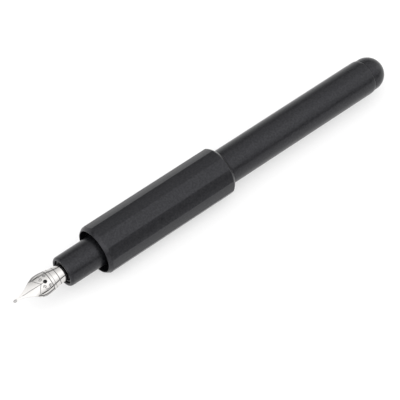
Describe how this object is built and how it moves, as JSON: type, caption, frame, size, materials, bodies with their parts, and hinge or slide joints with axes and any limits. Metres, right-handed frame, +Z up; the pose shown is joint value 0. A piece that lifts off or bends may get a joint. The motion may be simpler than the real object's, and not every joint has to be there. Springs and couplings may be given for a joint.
{
  "type": "dip pen",
  "caption": "Round black pen with an engraved steel nib, a slim grip and a twelve-sided sleeve that slides forward over the nib.",
  "frame": {"origin": "centre of the pen's length and width, on the surface that the sleeve's lowest flat rests on", "axes": "+X along the pen from the nib to the domed end, +Y across it, +Z up; the nib faces up and a little towards -Y"},
  "size_m": [0.1444, 0.0156, 0.0155],
  "materials": {
    "black_anodised": "satin black anodised",
    "nib_steel": "polished stainless steel, engraved",
    "black_resin": "moulded black",
    "brass": "turned",
    "rubber": "matt",
    "clear_resin": "clear",
    "acetal": "natural acetal",
    "bright_steel": "bright drawn"
  },
  "bodies": {
    "barrel": {"barrel": "black_anodised", "barrel_insert": "brass", "stop_collar": "brass"},
    "sleeve_rings": {"sleeve_o_ring_front": "rubber", "sleeve_o_ring_rear": "rubber"},
    "sleeve": {"sleeve_shell": "black_anodised", "sleeve_circlip": "bright_steel", "sleeve_bush": "acetal"},
    "section_seal": {"section_o_ring": "rubber"},
    "section": {"section": "black_anodised", "nib_housing": "black_resin"},
    "nib_set": {"nib": "nib_steel", "feed": "black_resin"},
    "converter": {"converter_mouth": "black_resin", "converter_tube": "clear_resin", "converter_ferrule": "bright_steel"},
    "knob": {"converter_knob": "black_resin", "converter_nut": "acetal"},
    "piston": {"piston_rod": "acetal", "piston_head": "acetal", "piston_seal_front": "rubber", "piston_seal_rear": "rubber"},
    "plug_seal": {"end_plug_o_ring": "rubber"},
    "plug": {"end_plug": "black_anodised"}
  },
  "joints": [
    {"name": "sleeve_slide", "type": "slide", "parent": "barrel", "child": "sleeve_rings", "axis": [-1, 0, 0], "range_m": [0, 0.0307]},
    {"name": "sleeve_turn", "type": "hinge", "parent": "sleeve_rings", "child": "sleeve", "pos_m": [-0.01825, 0, 0.00776], "axis": [1, 0, 0], "continuous": true},
    {"name": "section_travel", "type": "slide", "parent": "barrel", "child": "section_seal", "axis": [-1, 0, 0], "range_m": [0, 0.0045]},
    {"name": "section_unscrew", "type": "hinge", "parent": "section_seal", "child": "section", "pos_m": [-0.0354, 0, 0.00776], "axis": [-1, 0, 0], "range_deg": [0, 2160]},
    {"name": "nib_pull", "type": "slide", "parent": "section", "child": "nib_set", "axis": [-1, 0, 0], "range_m": [0, 0.012]},
    {"name": "converter_pull", "type": "slide", "parent": "section", "child": "converter", "axis": [1, 0, 0], "range_m": [0, 0.0065]},
    {"name": "knob_turn", "type": "hinge", "parent": "converter", "child": "knob", "pos_m": [0.028, 0, 0.00776], "axis": [-1, 0, 0], "range_deg": [0, 2520]},
    {"name": "piston_travel", "type": "slide", "parent": "converter", "child": "piston", "axis": [1, 0, 0], "range_m": [0, 0.0175]},
    {"name": "plug_travel", "type": "slide", "parent": "barrel", "child": "plug_seal", "axis": [1, 0, 0], "range_m": [0, 0.006]},
    {"name": "plug_unscrew", "type": "hinge", "parent": "plug_seal", "child": "plug", "pos_m": [0.0661, 0, 0.00776], "axis": [1, 0, 0], "range_deg": [0, 2880]}
  ],
  "couplings": [
    {"joint": "section_unscrew", "follows": "section_travel", "rad_per_m": 8377.5},
    {"joint": "knob_turn", "follows": "piston_travel", "rad_per_m": 2513.2},
    {"joint": "plug_unscrew", "follows": "plug_travel", "rad_per_m": 8377.5}
  ]
}
